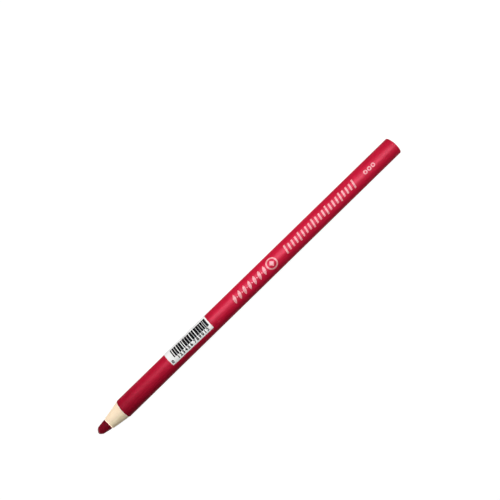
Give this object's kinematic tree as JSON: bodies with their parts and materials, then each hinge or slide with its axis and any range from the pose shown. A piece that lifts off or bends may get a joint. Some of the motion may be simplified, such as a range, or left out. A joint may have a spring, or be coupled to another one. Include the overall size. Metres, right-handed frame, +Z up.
{
  "type": "china marker",
  "caption": "Round wood-cased china marker, sharpened: a thick wax core glued between grooved wood halves, lacquered crimson, with a bar-coded label on the barrel.",
  "frame": {"origin": "below the middle of the length, on the surface that the barrel lies on", "axes": "+X along the barrel to the writing tip, +Z up; the label faces up and to the front, -Y"},
  "size_m": [0.175, 0.0087, 0.0087],
  "materials": {
    "wax": "satin",
    "casing_wood": "matte",
    "glue": "matte",
    "undercoat": "matte",
    "lacquer": "satin",
    "adhesive": "gloss",
    "label_paper": "matte"
  },
  "bodies": {
    "root": {"wax_core": "wax", "front_wood_half": "casing_wood", "rear_wood_half": "casing_wood", "front_groove_glue": "glue", "rear_groove_glue": "glue", "top_seam_glue": "glue", "bottom_seam_glue": "glue", "undercoat": "undercoat", "lacquer_coat": "lacquer", "label_adhesive": "adhesive", "label_face": "label_paper"}
  },
  "joints": []
}
